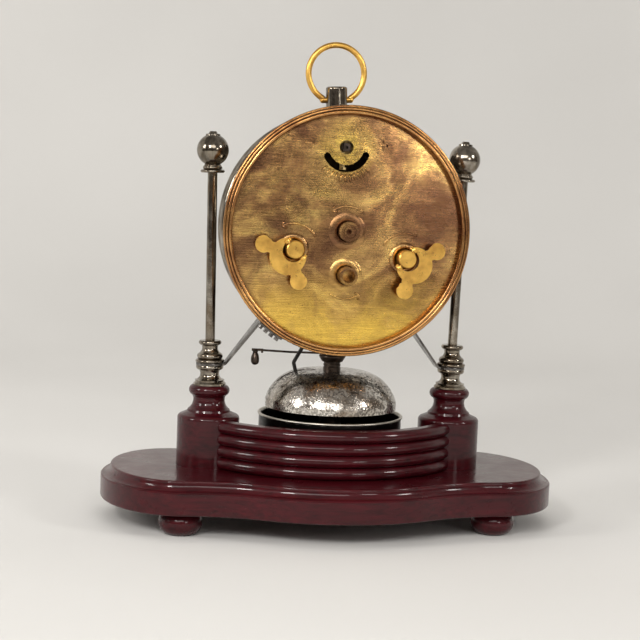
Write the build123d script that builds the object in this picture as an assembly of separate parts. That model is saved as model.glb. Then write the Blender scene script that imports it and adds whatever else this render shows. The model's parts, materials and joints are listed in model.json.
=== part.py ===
"""Twin-column alarm clock: a round drum movement between two metal columns on a wood base.

Sizes are in millimetres. +Z is up and z = 0 is the surface that the feet stand on.
X runs through the two columns. The dial faces -Y, and the pierced brass back faces +Y.
Places on the drum are given from its own axis, which runs along Y at height DRUM_Z.
"""
from build123d import *
import math
import os

# ---------------------------------------------------------------- driving sizes
DRUM_Z = 138.0              # height of the drum's axis
DRUM_R = 51.5               # outside of the nickel shell
SHELL_WALL = 0.8
RIM_R = 57.0                # outside of the stepped rear rim
COVER_R = 53.4              # brass back cover
RIM_REAR = 27.0             # rearmost line of the rim
COVER_REAR = 23.4           # rear face of the cover, sunk inside the rim
SHEET = 0.8                 # stamped brass sheet
DIAL_FACE = -12.0           # front face of the dial
GLASS_REAR = -18.0
BEZEL_FRONT = -21.0

DRUM_TILT = 2.8             # degrees, the drum is clamped slightly turned about its axis

FOOT_H = 10.7
BAND_TOP = 21.3             # top of the base's plain lower band
BASE_TOP = 25.8
COLUMN_X = 57.8
COLUMN_LEAN = 1.1           # degrees, each column leans outward
PEDESTAL_R = 14.5
PEDESTAL_TOP = 63.3
ROD_R = 2.25
FOOT_TOP = 72.7             # top of the column's foot casting
EYE_THICK = 1.2             # bracket eye clamped between the two castings
COLLAR_TOP = 84.3
ROD_TOP = 167.0

BELL_CUP_R = 33.7
BELL_CUP_TOP = 50.0
DOME_R = 31.0
DOME_RIM_Z = 53.8
DOME_TOP_Z = 71.5
POST_R = 4.1
NUT_TOP = 78.5

FIT = 0.05                  # running clearance on a radius

# Movement, placed from the drum's axis (x to the right of the dial's rear, z up)
PLATE_R = 48.0
FRONT_PLATE = (-8.0, -6.6)
BACK_PLATE = (15.0, 16.4)
CENTRE = (0.0, 0.0)
TIME_KEY = (24.6, -8.7)
ALARM_KEY = (-27.2, -11.6)
ALARM_SET = (0.0, -20.0)

# Tooth counts, each wheel and the pinion that it drives
GREAT_TEETH, CENTRE_LEAVES = 75, 12
CENTRE_TEETH, THIRD_LEAVES = 56, 7
THIRD_TEETH, FOURTH_LEAVES = 56, 7
FOURTH_TEETH, ESCAPE_LEAVES = 56, 6
ESCAPE_TEETH = 15
CANNON_LEAVES, MINUTE_TEETH = 12, 36
MINUTE_LEAVES, HOUR_TEETH = 10, 40
ALARM_GREAT_TEETH, ALARM_LEAVES = 64, 8


def step(place, distance, degrees):
    """The point a distance away from a place, at an angle from +X towards +Z."""
    angle = math.radians(degrees)
    return (place[0] + distance * math.cos(angle), place[1] + distance * math.sin(angle))


def gap(place, other):
    return math.hypot(place[0] - other[0], place[1] - other[1])


UPRIGHT = 90 - DRUM_TILT    # the way to the pendant, from the drum's axis
THIRD = step(CENTRE, 18.1, UPRIGHT - 42)
FOURTH = step(CENTRE, 20.5, UPRIGHT)
ESCAPE = step(CENTRE, 26.6, UPRIGHT + 25.6)
PALLET = step(CENTRE, 34.6, UPRIGHT + 17.5)
BALANCE = step(CENTRE, 38.0, UPRIGHT)
MINUTE = step(CENTRE, 12.4, 135)
ALARM_ESCAPE = step(ALARM_KEY, 20.5, -46)
HAMMER = (2.0, -36.0)


# ---------------------------------------------------------------- shape helpers
def turned(start, *runs):
    """Solid turned about Z. A run is [end] for a straight line or [middle, end] for an arc."""
    edges = []
    here = start
    for run in runs:
        end = run[-1]
        if len(run) == 1:
            edges.append(Line((here[0], 0, here[1]), (end[0], 0, end[1])))
        else:
            points = [(p[0], 0, p[1]) for p in (here, run[0], end)]
            edges.append(ThreePointArc(*points))
        here = end
    edges.append(Line((here[0], 0, here[1]), (start[0], 0, start[1])))
    return revolve(make_face(edges), Axis.Z)


def on_drum(solid, place=CENTRE):
    """Turns a solid's +Z rearward (+Y) and puts it on the drum's axis or a place beside it."""
    return Pos(place[0], 0, DRUM_Z + place[1]) * Rot(-90, 0, 0) * solid


def tilted(solid):
    """Turns a piece with the drum about the drum's axis, its top towards +X."""
    return Pos(0, 0, DRUM_Z) * Rot(0, DRUM_TILT, 0) * Pos(0, 0, -DRUM_Z) * solid


def disc(radius, front, rear, place=CENTRE, bore=0.0):
    """Round piece on an axis along Y, from its front face to its rear face."""
    solid = Cylinder(radius, rear - front)
    if bore:
        solid -= Cylinder(bore, rear - front)
    return Pos(place[0], (front + rear) / 2, DRUM_Z + place[1]) * Rot(-90, 0, 0) * solid


def pressed(sketch, front, rear, place=CENTRE, turn=0.0):
    """Flat piece cut to a sketch (x right, y up), standing across the drum's axis."""
    flat = Plane.XZ * Rot(0, 0, turn) * sketch
    return Pos(place[0], rear, DRUM_Z + place[1]) * extrude(flat, amount=rear - front, dir=(0, -1, 0))


def pitch_radii(distance, teeth, leaves):
    """Shares the distance between two arbors by their tooth counts."""
    return distance * teeth / (teeth + leaves), distance * leaves / (teeth + leaves)


def toothed(radius, teeth, spokes=4):
    """Outline of a wheel or pinion. Its teeth end just short of the pitch circle."""
    tip = radius - FIT
    root = tip - 2.0 * radius / teeth
    turn = 2 * math.pi / teeth
    points = []
    for tooth in range(teeth):
        for reach, part in ((root, 0.0), (tip, 0.18), (tip, 0.42), (root, 0.6)):
            angle = (tooth + part) * turn
            points.append((reach * math.cos(angle), reach * math.sin(angle)))
    outline = Polygon(*points, align=None)
    if radius > 6:
        band = Circle(root - 1.6) - Circle(3.2)
        arms = [Rot(0, 0, 360 * arm / spokes) * Rectangle(2.4, 4 * radius) for arm in range(spokes)]
        window = band
        for arm in arms:
            window -= arm
        outline -= window
    return outline


def coil(inner, outer, turns, strip):
    """Flat spiral strip, as a wound spring."""
    count = int(turns * 24)
    inside = []
    outside = []
    for index in range(count + 1):
        share = index / count
        angle = 2 * math.pi * turns * share
        radius = inner + (outer - inner) * share
        inside.append((radius * math.cos(angle), radius * math.sin(angle)))
        outside.append(((radius + strip) * math.cos(angle), (radius + strip) * math.sin(angle)))
    return Polygon(*(inside + outside[::-1]), align=None)


def wire(points, radius, bend, y=0.0):
    """Round wire bent in a plane across Y. Points are (x, z)."""
    path = FilletPolyline(*[(x, y, z) for x, z in points], radius=bend)
    start = Plane(origin=path @ 0, z_dir=path % 0)
    return sweep(start * Circle(radius), path=path)


parts = {}


def keep(name, solid):
    parts[name] = solid


# ---------------------------------------------------------------- wood base
BASE_END_X = 72.0           # centre of each end lobe
BASE_END_LENGTH = 30.6      # lobe's reach past its centre
LOBE_DEPTH = 42.0           # half depth at the lobes
BELLY_DEPTH = 60.0          # half depth at the middle
EDGE_STEP = 4.5             # the lower band stands out this far
COVE_R = 3.3


def base_outline(grow):
    """Serpentine outline: two blunt end lobes joined by S curves to a belly in the middle."""
    rise = BELLY_DEPTH - LOBE_DEPTH
    bend = (BASE_END_X ** 2 + rise ** 2) / (4 * rise)
    belly = BELLY_DEPTH + grow
    lobe = LOBE_DEPTH + grow
    slope = math.asin(BASE_END_X / 2 / bend)
    reach = (bend + grow) * math.sin(slope)
    join = (reach, BELLY_DEPTH - bend + (bend + grow) * math.cos(slope))
    middle = ((bend - grow) * math.sin(slope / 2), (bend - grow) * math.cos(slope / 2))
    hollow = (BASE_END_X - middle[0], LOBE_DEPTH + bend - middle[1])
    tip = BASE_END_X + BASE_END_LENGTH + grow
    edges = [ThreePointArc((-join[0], join[1]), (0, belly), join)]
    edges.append(ThreePointArc(join, hollow, (BASE_END_X, lobe)))
    half_length = tip - BASE_END_X
    edges.append(EllipticalCenterArc((BASE_END_X, 0), half_length, lobe, start_angle=-90, arc_size=180))
    edges.append(ThreePointArc((BASE_END_X, -lobe), (hollow[0], -hollow[1]), (join[0], -join[1])))
    edges.append(ThreePointArc((join[0], -join[1]), (0, -belly), (-join[0], -join[1])))
    edges.append(ThreePointArc((-join[0], -join[1]), (-hollow[0], -hollow[1]), (-BASE_END_X, -lobe)))
    edges.append(EllipticalCenterArc((-BASE_END_X, 0), half_length, lobe, start_angle=90, arc_size=180))
    edges.append(ThreePointArc((-BASE_END_X, lobe), (-hollow[0], hollow[1]), (-join[0], join[1])))
    return make_face(edges)


def same_edges(body, wanted):
    """The body's edges that lie on the wanted ones."""
    middles = [edge @ 0.5 for edge in wanted]

    def gap(edge):
        return min((edge @ 0.5 - middle).length for middle in middles)

    return [edge for edge in body.edges() if gap(edge) < 0.01]


def base_plate():
    """Slab with a plain band below and a cove up to the raised table."""
    lower = Pos(0, 0, FOOT_H) * extrude(base_outline(EDGE_STEP), amount=BAND_TOP - FOOT_H)
    lower = fillet(lower.edges().group_by(Axis.Z)[0], 0.8)
    upper = Pos(0, 0, BAND_TOP) * extrude(base_outline(0), amount=BASE_TOP - BAND_TOP)
    corner = upper.edges().group_by(Axis.Z)[0]
    brink = lower.edges().group_by(Axis.Z)[-1]
    body = fillet(same_edges(lower + upper, corner), COVE_R)
    body = chamfer(same_edges(body, brink), 0.6)
    return fillet(body.edges().group_by(Axis.Z)[-1], 0.8)


BUN_X = 72.8
BUN_Y = 32.0


def bun_foot():
    return turned((0, 0), [(5.4, 0)], [(9.9, 4.8), (8.5, 9.6)], [(8.2, FOOT_H)], [(0, FOOT_H)])


def bun_feet():
    spots = [(x, y) for x in (-BUN_X, BUN_X) for y in (-BUN_Y, BUN_Y)]
    return Compound([Pos(x, y, 0) * bun_foot() for x, y in spots])


def pedestal(side):
    shape = turned(
        (0, BASE_TOP),
        [(PEDESTAL_R, BASE_TOP)],
        [(PEDESTAL_R, PEDESTAL_TOP - 15.4)],
        [(PEDESTAL_R - 0.4, PEDESTAL_TOP - 14.2), (PEDESTAL_R - 1.6, PEDESTAL_TOP - 13.4)],
        [(10.2, PEDESTAL_TOP - 12.2)],
        [(9.8, PEDESTAL_TOP - 11.2)],
        [(8.0, PEDESTAL_TOP - 9.2), (7.5, PEDESTAL_TOP - 5.4)],
        [(8.0, PEDESTAL_TOP - 4.6)],
        [(9.5, PEDESTAL_TOP - 2.3), (8.2, PEDESTAL_TOP)],
        [(0, PEDESTAL_TOP)],
    )
    return Pos(side * COLUMN_X, 0, 0) * shape


FENCE_CENTRE_Y = -26.9
FENCE_R = 68.7              # crest of the reeds, from the fence's own centre
FENCE_HALF_TURN = 56        # degrees either side of the middle
REED_PITCH = 5.6
REEDS = 4


def reeded_fence():
    """Curved fence of four half-round reeds, butted on the rear of the two pedestals."""
    back = FENCE_R - 6.2
    root = FENCE_R - 2.6
    edges = []
    for reed in range(REEDS):
        low = BASE_TOP + reed * REED_PITCH
        points = [(root, 0, low), (FENCE_R, 0, low + REED_PITCH / 2), (root, 0, low + REED_PITCH)]
        edges.append(ThreePointArc(*points))
    top = BASE_TOP + REEDS * REED_PITCH
    edges.append(Line((root, 0, top), (back, 0, top)))
    edges.append(Line((back, 0, top), (back, 0, BASE_TOP)))
    edges.append(Line((back, 0, BASE_TOP), (root, 0, BASE_TOP)))
    bar = Rot(0, 0, 90 - FENCE_HALF_TURN) * revolve(
        make_face(edges), Axis.Z, revolution_arc=2 * FENCE_HALF_TURN
    )
    bar = Pos(0, FENCE_CENTRE_Y, 0) * bar
    for side in (-1, 1):
        bar -= Pos(side * COLUMN_X, 0, 40) * Cylinder(PEDESTAL_R, 60)
    return bar.solids().sort_by(SortBy.VOLUME)[-1]


# ---------------------------------------------------------------- columns
def leaned(side, solid):
    """Tips a piece of a column outward about the top of its pedestal."""
    return Pos(side * COLUMN_X, 0, PEDESTAL_TOP) * Rot(0, side * COLUMN_LEAN, 0) * (
        Pos(0, 0, -PEDESTAL_TOP) * solid
    )


def column_foot():
    low = PEDESTAL_TOP + 0.2
    shape = turned(
        (ROD_R, low),
        [(7.6, low)],
        [(7.6, low + 0.8)],
        [(6.7, low + 1.6)],
        [(6.9, low + 2.4)],
        [(4.9, low + 3.6), (4.6, FOOT_TOP - 3.0)],
        [(4.9, FOOT_TOP - 2.2)],
        [(6.3, FOOT_TOP - 1.4), (6.2, FOOT_TOP)],
        [(ROD_R, FOOT_TOP)],
    )
    return shape


def column_collar():
    low = FOOT_TOP + EYE_THICK
    return turned(
        (ROD_R, low),
        [(6.2, low)],
        [(6.7, low + 0.8), (6.2, low + 1.6)],
        [(5.3, low + 1.8)],
        [(6.0, low + 3.0), (5.2, low + 4.4)],
        [(3.9, COLLAR_TOP - 4.6), (3.9, COLLAR_TOP - 2.4)],
        [(4.7, COLLAR_TOP - 2.0)],
        [(5.3, COLLAR_TOP - 1.0), (4.7, COLLAR_TOP)],
        [(ROD_R, COLLAR_TOP)],
    )


def column_rod():
    length = ROD_TOP - PEDESTAL_TOP + 8
    return Pos(0, 0, ROD_TOP - length / 2) * Cylinder(ROD_R, length)


def finial():
    """Ball on a ringed neck, with a small stepped button on top and a blind bore for the rod."""
    ball_z = 172.4
    neck = turned(
        (0, 162.0),
        [(5.1, 162.0)],
        [(5.6, 162.7), (5.0, 163.4)],
        [(3.9, 163.6)],
        [(4.5, 164.3), (4.2, 165.0)],
        [(3.6, 166.0)],
        [(3.6, 168.0)],
        [(0, 168.0)],
    )
    button = turned(
        (0, 178.0),
        [(3.5, 178.0)],
        [(3.3, 179.7)],
        [(2.1, 180.0)],
        [(1.5, 181.0)],
        [(0, 181.0)],
    )
    solid = neck + Pos(0, 0, ball_z) * Sphere(7.4) + button
    return solid - Pos(0, 0, (162 + ROD_TOP) / 2) * Cylinder(ROD_R, ROD_TOP - 162)


# ---------------------------------------------------------------- drum brackets
BRACKET_THICK = 1.0
BRACKET_LOW_W = 6.0         # strip's width at the eye
BRACKET_HIGH_W = 13.0       # and where it meets the drum
KNEE_REACH = 6.6            # from the column's axis to the bend
PAD_ANGLE = 39.0            # degrees from straight down to the bracket's pad


def drum_bracket(side):
    """Flat tapering strip: an eye under the collar, a slanted arm, and a pad curved to the drum."""
    eye_z = FOOT_TOP + EYE_THICK / 2
    eye = Pos(0, 0, eye_z) * (Cylinder(6.4, EYE_THICK) - Cylinder(ROD_R, EYE_THICK))
    angle = math.radians(PAD_ANGLE)
    pad_x = (DRUM_R - 0.5) * math.sin(angle)
    pad_z = DRUM_Z - (DRUM_R - 0.5) * math.cos(angle)
    knee_x = COLUMN_X - KNEE_REACH
    path = FilletPolyline(
        (side * (COLUMN_X - 4.6), 0, eye_z),
        (side * knee_x, 0, eye_z),
        (side * pad_x, 0, pad_z),
        radius=1.6,
    )
    start = Plane(origin=path @ 0, x_dir=(0, 1, 0), z_dir=path % 0)
    strip = sweep(start * Rectangle(BRACKET_HIGH_W, BRACKET_THICK), path=path)
    low, high = BRACKET_LOW_W / 2, BRACKET_HIGH_W / 2
    taper = Polygon(
        (-low, eye_z - 2), (low, eye_z - 2), (low, eye_z), (high, pad_z),
        (high, pad_z + 4), (-high, pad_z + 4), (-high, pad_z), (-low, eye_z),
        align=None,
    )
    strip &= extrude(Plane.YZ * taper, amount=COLUMN_X, both=True)
    strip -= Pos(0, 0, DRUM_Z) * Rot(90, 0, 0) * Cylinder(DRUM_R, 60)
    for block in (column_foot(), column_collar()):
        strip -= leaned(side, block)
    outer = DRUM_R + BRACKET_THICK
    ring = Cylinder(outer, BRACKET_HIGH_W) - Cylinder(DRUM_R, BRACKET_HIGH_W)
    middle = math.radians(PAD_ANGLE - 5)
    wedge = Pos(side * outer * math.sin(middle), -outer * math.cos(middle), 0) * Cylinder(6.4, 16)
    pad = Pos(0, 0, DRUM_Z) * Rot(90, 0, 0) * (ring & wedge)
    return leaned(side, eye) + strip + pad


def bracket_screws():
    """Round-headed screw through each pad into the shell."""
    screws = []
    for side in (-1, 1):
        angle = side * (PAD_ANGLE - 8)
        shank = Pos(0, 0, -DRUM_R) * Cylinder(1.0, 4.4)
        head = Pos(0, 0, -DRUM_R - 1.7) * (Sphere(1.9) & Box(8, 8, 1.2))
        screws.append(Pos(0, 0, DRUM_Z) * Rot(0, -angle, 0) * (shank + head))
    return screws


# ---------------------------------------------------------------- drum
HAMMER_Y = 0.8
SOUND_HOLES = 6


def drum_shell():
    front, rear = -16.0, 21.5
    shell = disc(DRUM_R, front, rear, bore=DRUM_R - SHELL_WALL)
    shell -= Pos(12.5, HAMMER_Y, DRUM_Z - DRUM_R) * Box(12, 4.2, 16)
    for hole in range(SOUND_HOLES):
        angle = 21 + 4.2 * hole
        cutter = Pos(0, 0, -DRUM_R) * Box(2.2, 2.2, 4)
        for y in (13.2, 16.4):
            shell -= Pos(0, y, DRUM_Z) * Rot(0, -angle, 0) * cutter
    for screw in bracket_screws():
        shell -= screw
    return shell - tilted(Pos(0, 0, DRUM_Z + DRUM_R) * Cylinder(1.6, 8))


def rear_rim():
    """Copper ring with three stepped beads, flared out from the shell to its lip."""
    step_r = DRUM_R + 0.1
    seat = COVER_REAR - SHEET
    shape = turned(
        (DRUM_R, 16.8),
        [(DRUM_R, 21.5)],
        [(step_r - 1.3, 21.5)],
        [(step_r - 1.3, seat)],
        [(COVER_R, seat)],
        [(COVER_R, 25.6)],
        [(54.0, RIM_REAR), (54.7, 25.9)],
        [(55.2, RIM_REAR - 0.4), (55.8, 25.5)],
        [(56.6, RIM_REAR - 1.0), (RIM_R, 24.9)],
        [(RIM_R, 23.9)],
        [(54.6, 20.6), (53.2, 16.8)],
    )
    return on_drum(shape)


CLIP_ANGLE = 36.0           # degrees from straight down to the rim clip
CLIP_TEETH = 4
CLIP_PITCH = 3.0            # degrees from tooth to tooth


def rim_clip():
    """Short toothed clip sprung over the rim's lip, low on the +X side."""
    band = disc(RIM_R + 1.0, 20.4, 24.9, bore=RIM_R)
    middle = math.radians(CLIP_ANGLE)
    place = (RIM_R * math.sin(middle), -RIM_R * math.cos(middle))
    clip = band & disc(6.4, 18, 28, place)
    for tooth in range(CLIP_TEETH):
        angle = CLIP_ANGLE + (tooth - (CLIP_TEETH - 1) / 2) * CLIP_PITCH
        block = Pos(0, 22.2, -RIM_R - 1.6) * Box(1.6, 3.6, 1.8)
        clip += Pos(0, 0, DRUM_Z) * Rot(0, -angle, 0) * block
    return clip


KEY_HOLE_R = 4.7
SLOT_R = 9.6                # centreline of the regulator slot, from the balance axis
SLOT_W = 3.2
SLOT_HALF_ANGLE = 67
REGULATOR_TURN = 4.0        # degrees off the middle of the slot


def regulator_slot(width):
    """Half-moon slot sketch, centred on the balance axis and open below it."""
    ends = [step(CENTRE, SLOT_R, -90 + turn) for turn in (-SLOT_HALF_ANGLE, SLOT_HALF_ANGLE)]
    low = ThreePointArc(ends[0], (0, -SLOT_R), ends[1])
    return trace(low, width) + Pos(*ends[0]) * Circle(width / 2) + Pos(*ends[1]) * Circle(width / 2)


def raised_ring(place, inner, outer, height):
    """Low pressed boss around a hole in the cover."""
    middle = (inner + outer) / 2
    shape = turned((inner, -0.01), [(outer, -0.01)], [(middle, height), (inner, height * 0.8)])
    return on_drum(Pos(0, 0, COVER_REAR) * shape, place)


def back_cover():
    cover = disc(COVER_R, COVER_REAR - SHEET, COVER_REAR)
    cover += raised_ring(CENTRE, 5.0, 8.6, 0.5)
    cover += raised_ring(ALARM_SET, 4.6, 7.8, 0.5)
    cover += raised_ring(TIME_KEY, KEY_HOLE_R, 7.2, 0.8)
    cover += raised_ring(ALARM_KEY, KEY_HOLE_R, 7.2, 0.8)
    for tick in range(13):
        angle = -90 + (tick - 6) * 10.5
        mark = Pos(*step(CENTRE, 14.2, angle)) * Rot(0, 0, angle) * Rectangle(3.2, 0.7)
        cover += pressed(mark, COVER_REAR - 0.1, COVER_REAR + 0.3, BALANCE, -DRUM_TILT)
    cutters = [
        disc(4.85, COVER_REAR - 2, COVER_REAR + 2, CENTRE),
        disc(4.45, COVER_REAR - 2, COVER_REAR + 2, ALARM_SET),
        disc(KEY_HOLE_R, COVER_REAR - 2, COVER_REAR + 2, TIME_KEY),
        disc(KEY_HOLE_R, COVER_REAR - 2, COVER_REAR + 2, ALARM_KEY),
        disc(3.2, COVER_REAR - 2, COVER_REAR + 2, BALANCE),
        pressed(regulator_slot(SLOT_W), COVER_REAR - 2, COVER_REAR + 2, BALANCE, -DRUM_TILT),
    ]
    for cutter in cutters:
        cover -= cutter
    return cover


def front_bezel():
    """Stepped ring that holds the glass, sprung over the front of the shell."""
    shape = turned(
        (DRUM_R, -16.0),
        [(DRUM_R, -11.0)],
        [(52.4, -11.0)],
        [(53.6, -12.4), (53.6, -14.4)],
        [(53.4, -19.6), (50.6, BEZEL_FRONT)],
        [(47.0, -19.4)],
        [(46.4, -18.0)],
        [(50.4, GLASS_REAR)],
        [(50.4, -16.0)],
    )
    return on_drum(shape)


def dial_glass():
    return disc(50.3, GLASS_REAR, GLASS_REAR + 1.4)


def dial():
    shape = disc(DRUM_R - SHELL_WALL, DIAL_FACE, DIAL_FACE + 0.6)
    shape -= disc(2.6, DIAL_FACE - 1, DIAL_FACE + 2, CENTRE)
    return shape - disc(1.3, DIAL_FACE - 1, DIAL_FACE + 2, ALARM_SET)


# ---------------------------------------------------------------- pendant and ring
PENDANT_R = 5.0
PENDANT_TOP = 204.0
RING_PIVOT_Z = 197.8
RING_CENTRE_Z = 210.0
RING_R = 13.1
RING_WIRE_R = 1.4


def pendant_knob():
    seat = DRUM_Z + DRUM_R
    knob = turned(
        (0, seat - 4),
        [(1.6, seat - 4)],
        [(1.6, seat - 0.6)],
        [(4.6, seat - 0.6)],
        [(4.2, seat + 1.6)],
        [(4.5, seat + 2.6)],
        [(PENDANT_R, seat + 3.2)],
        [(PENDANT_R, PENDANT_TOP - 1.0)],
        [(4.7, PENDANT_TOP - 0.3), (4.0, PENDANT_TOP)],
        [(0, PENDANT_TOP)],
    )
    drum = Pos(0, 0, DRUM_Z) * Rot(90, 0, 0) * Cylinder(DRUM_R, 60)
    collar = Pos(0, 0, seat - 1.5) * Cylinder(1.6, 5.0)
    hole = Pos(0, 0, RING_PIVOT_Z) * Rot(0, 90, 0) * Cylinder(RING_WIRE_R + FIT, 20)
    return tilted(knob - drum + collar - hole)


def carrying_ring():
    """Brass ring, its two ends turned in to pivot in the knob."""
    end_x = 6.6
    drop = math.sqrt(RING_R ** 2 - end_x ** 2)
    ends = [(side * end_x, 0, RING_CENTRE_Z - drop) for side in (-1, 1)]
    path = ThreePointArc(ends[0], (0, 0, RING_CENTRE_Z + RING_R), ends[1])
    ring = sweep(Plane(origin=path @ 0, z_dir=path % 0) * Circle(RING_WIRE_R), path=path)
    for side in (-1, 1):
        ring += Pos(side * end_x, 0, RING_PIVOT_Z) * Sphere(RING_WIRE_R)
        ring += Pos(side * end_x, 0, RING_CENTRE_Z - drop) * Sphere(RING_WIRE_R)
        pin = Pos(side * (end_x + 2.2) / 2, 0, RING_PIVOT_Z) * Rot(0, 90, 0)
        ring += pin * Cylinder(RING_WIRE_R, end_x - 2.2)
    return tilted(ring)


# ---------------------------------------------------------------- bell
def bell_post():
    """Post from the base to the drum, with a shoulder under the dome."""
    shoulder = DOME_TOP_Z - 1.4
    post = Pos(0, 0, (BASE_TOP + shoulder) / 2) * Cylinder(5.2, shoulder - BASE_TOP)
    top = DRUM_Z - DRUM_R + 1
    post += Pos(0, 0, (shoulder + top) / 2) * Cylinder(POST_R, top - shoulder)
    for groove in range(3):
        post -= Pos(0, 0, DOME_TOP_Z + 1.6 + 1.5 * groove) * Torus(POST_R + 0.1, 0.35)
    return post - Pos(0, 0, DRUM_Z) * Rot(90, 0, 0) * Cylinder(DRUM_R, 60)


def bell_nut():
    shape = turned(
        (POST_R, 75.4),
        [(4.9, 75.4)],
        [(6.0, 77.2)],
        [(6.3, 77.8), (6.0, NUT_TOP)],
        [(POST_R, NUT_TOP)],
    )
    return shape


def bell_dome():
    """Spun dome, flatter on top, with a radial slot for the hammer wire."""
    wall = 1.3
    outer = [(25.2, 66.4), (11.0, DOME_TOP_Z - 0.4)]
    inner = [(24.2, 65.2), (DOME_R - wall, DOME_RIM_Z + 3)]
    dome = turned(
        (POST_R, DOME_TOP_Z - 1.4),
        [(5.4, DOME_TOP_Z - 1.4)],
        [(11.0, DOME_TOP_Z - 1.7)],
        inner,
        [(DOME_R - wall, DOME_RIM_Z)],
        [(DOME_R, DOME_RIM_Z)],
        [(DOME_R, DOME_RIM_Z + 3)],
        outer,
        [(POST_R, DOME_TOP_Z)],
    )
    slot = Pos(17, HAMMER_Y, DOME_TOP_Z) * Box(16, 2.6, 24)
    ends = Pos(9, HAMMER_Y, DOME_TOP_Z) * Cylinder(1.3, 24)
    ends += Pos(25, HAMMER_Y, DOME_TOP_Z) * Cylinder(1.3, 24)
    return dome - slot - ends


def bell_cup():
    """Open pan around the dome with a rolled rim."""
    wall = 1.0
    shape = turned(
        (5.2, BASE_TOP),
        [(BELL_CUP_R - 2, BASE_TOP)],
        [(BELL_CUP_R - 0.586, BASE_TOP + 0.586), (BELL_CUP_R, BASE_TOP + 2)],
        [(BELL_CUP_R, BELL_CUP_TOP - 0.4)],
        [(BELL_CUP_R + 0.6, BELL_CUP_TOP + 0.1), (BELL_CUP_R - wall / 2, BELL_CUP_TOP + 0.6)],
        [(BELL_CUP_R - wall, BELL_CUP_TOP - 0.2)],
        [(BELL_CUP_R - wall, BASE_TOP + 2)],
        [(BELL_CUP_R - 3, BASE_TOP + wall)],
        [(5.2, BASE_TOP + wall)],
    )
    return shape


def hammer():
    """Bent wire arm on its arbor, with the striking head inside the dome."""
    arbor = disc(1.2, FRONT_PLATE[1] + 0.2, BACK_PLATE[0] - 0.2, HAMMER)
    arbor += disc(0.6, FRONT_PLATE[0], BACK_PLATE[1], HAMMER)
    arbor += disc(2.4, -1.0, 2.6, HAMMER)
    elbow = (18.6, 74.6)
    knee = (16.9, 68.4)
    points = [(HAMMER[0] + 1.5, DRUM_Z + HAMMER[1]), elbow, knee, (18.6, 61.0)]
    arm = wire(points, 0.9, 1.8, HAMMER_Y)
    head = Pos(19.4, HAMMER_Y, 60) * Rot(0, 83, 0) * Cylinder(2.8, 6.0)
    verge = Pos(4.2, 0) * Rectangle(8.4, 1.4) + Pos(7.9, 0) * Rectangle(1.0, 5.0)
    verge = pressed(verge, -1.0, -0.1, HAMMER, 147)
    return arbor + arm + head + verge


DROP_X = 36.4               # from the post to the drop on the lever's end
LEVER_TURN = -7.0


def stop_lever():
    """Thin silencing lever turning about the post on top of the nut."""
    hub = Pos(0, 0, NUT_TOP + 0.55) * (Cylinder(5.6, 0.8) - Cylinder(POST_R + FIT, 0.8))
    end_z = NUT_TOP + 1.2
    arm = wire([(5.2, NUT_TOP + 0.6), (20, NUT_TOP + 0.6), (DROP_X + 1.0, end_z)], 0.5, 20)
    cap = Box(5.4, 1.6, 1.1) + Pos(-2.2, 0, -0.8) * Box(1.0, 1.0, 1.2)
    cap = Pos(DROP_X - 1.0, 0, end_z) * cap
    return Rot(0, 0, LEVER_TURN) * (hub + arm + cap)


def stop_lever_drop():
    """Long drop-shaped finger piece riveted under the lever's end."""
    high = NUT_TOP + 0.65
    belly = 1.95
    low = high - 4.75
    shape = turned(
        (0, high),
        [(1.3, high)],
        [(1.1, high - 0.8)],
        [(1.8, high - 2.6), (belly, low)],
        [(0, low)],
    )
    shape += Pos(0, 0, low) * Sphere(belly)
    return Rot(0, 0, LEVER_TURN) * Pos(DROP_X, 0, 0) * shape


# ---------------------------------------------------------------- movement frame
PILLARS = [step(CENTRE, 44.0, angle) for angle in (40, 140, 250, 300)]
PIVOT_R = 0.6
SLEEVE_R = 1.25


def movement_plate(faces, bores):
    plate = disc(PLATE_R, faces[0], faces[1])
    for place, radius in bores:
        plate -= disc(radius + FIT, faces[0] - 1, faces[1] + 1, place)
    for place in PILLARS:
        plate -= disc(1.2, faces[0] - 1, faces[1] + 1, place)
    clearance = Pos(0, 0, DRUM_Z - DRUM_R) * Box(7, 60, 12)
    return plate - clearance


def movement_front_plate():
    small = [THIRD, FOURTH, ESCAPE, PALLET, BALANCE, ALARM_ESCAPE, HAMMER, TIME_KEY, ALARM_KEY]
    bores = [(place, PIVOT_R) for place in small] + [(CENTRE, 1.5), (ALARM_SET, 1.1), (MINUTE, PIVOT_R)]
    return movement_plate(FRONT_PLATE, bores)


def movement_back_plate():
    small = [THIRD, FOURTH, ESCAPE, PALLET, BALANCE, ALARM_ESCAPE, HAMMER]
    bores = [(place, PIVOT_R) for place in small] + [(CENTRE, 1.5), (ALARM_SET, 1.1)]
    bores += [(TIME_KEY, 2.2), (ALARM_KEY, 2.2)]
    return movement_plate(BACK_PLATE, bores)


def movement_pillars():
    pillars = []
    for place in PILLARS:
        post = disc(2.4, FRONT_PLATE[1], BACK_PLATE[0], place)
        post += disc(1.2, FRONT_PLATE[0], BACK_PLATE[1], place)
        post += disc(2.6, BACK_PLATE[1], BACK_PLATE[1] + 1.8, place)
        pillars.append(post)
    return Compound(pillars)


# ---------------------------------------------------------------- going train
def arbor(place, pinion, leaves, pinion_faces, wheel, teeth, wheel_faces):
    """Pivoted arbor carrying one wheel and the pinion that drives it."""
    body = disc(1.0, FRONT_PLATE[1] + 0.2, BACK_PLATE[0] - 0.2, place)
    body += disc(PIVOT_R, FRONT_PLATE[0], BACK_PLATE[1], place)
    body += pressed(toothed(pinion, leaves), *pinion_faces, place)
    return body + pressed(toothed(wheel, teeth), *wheel_faces, place)


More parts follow.
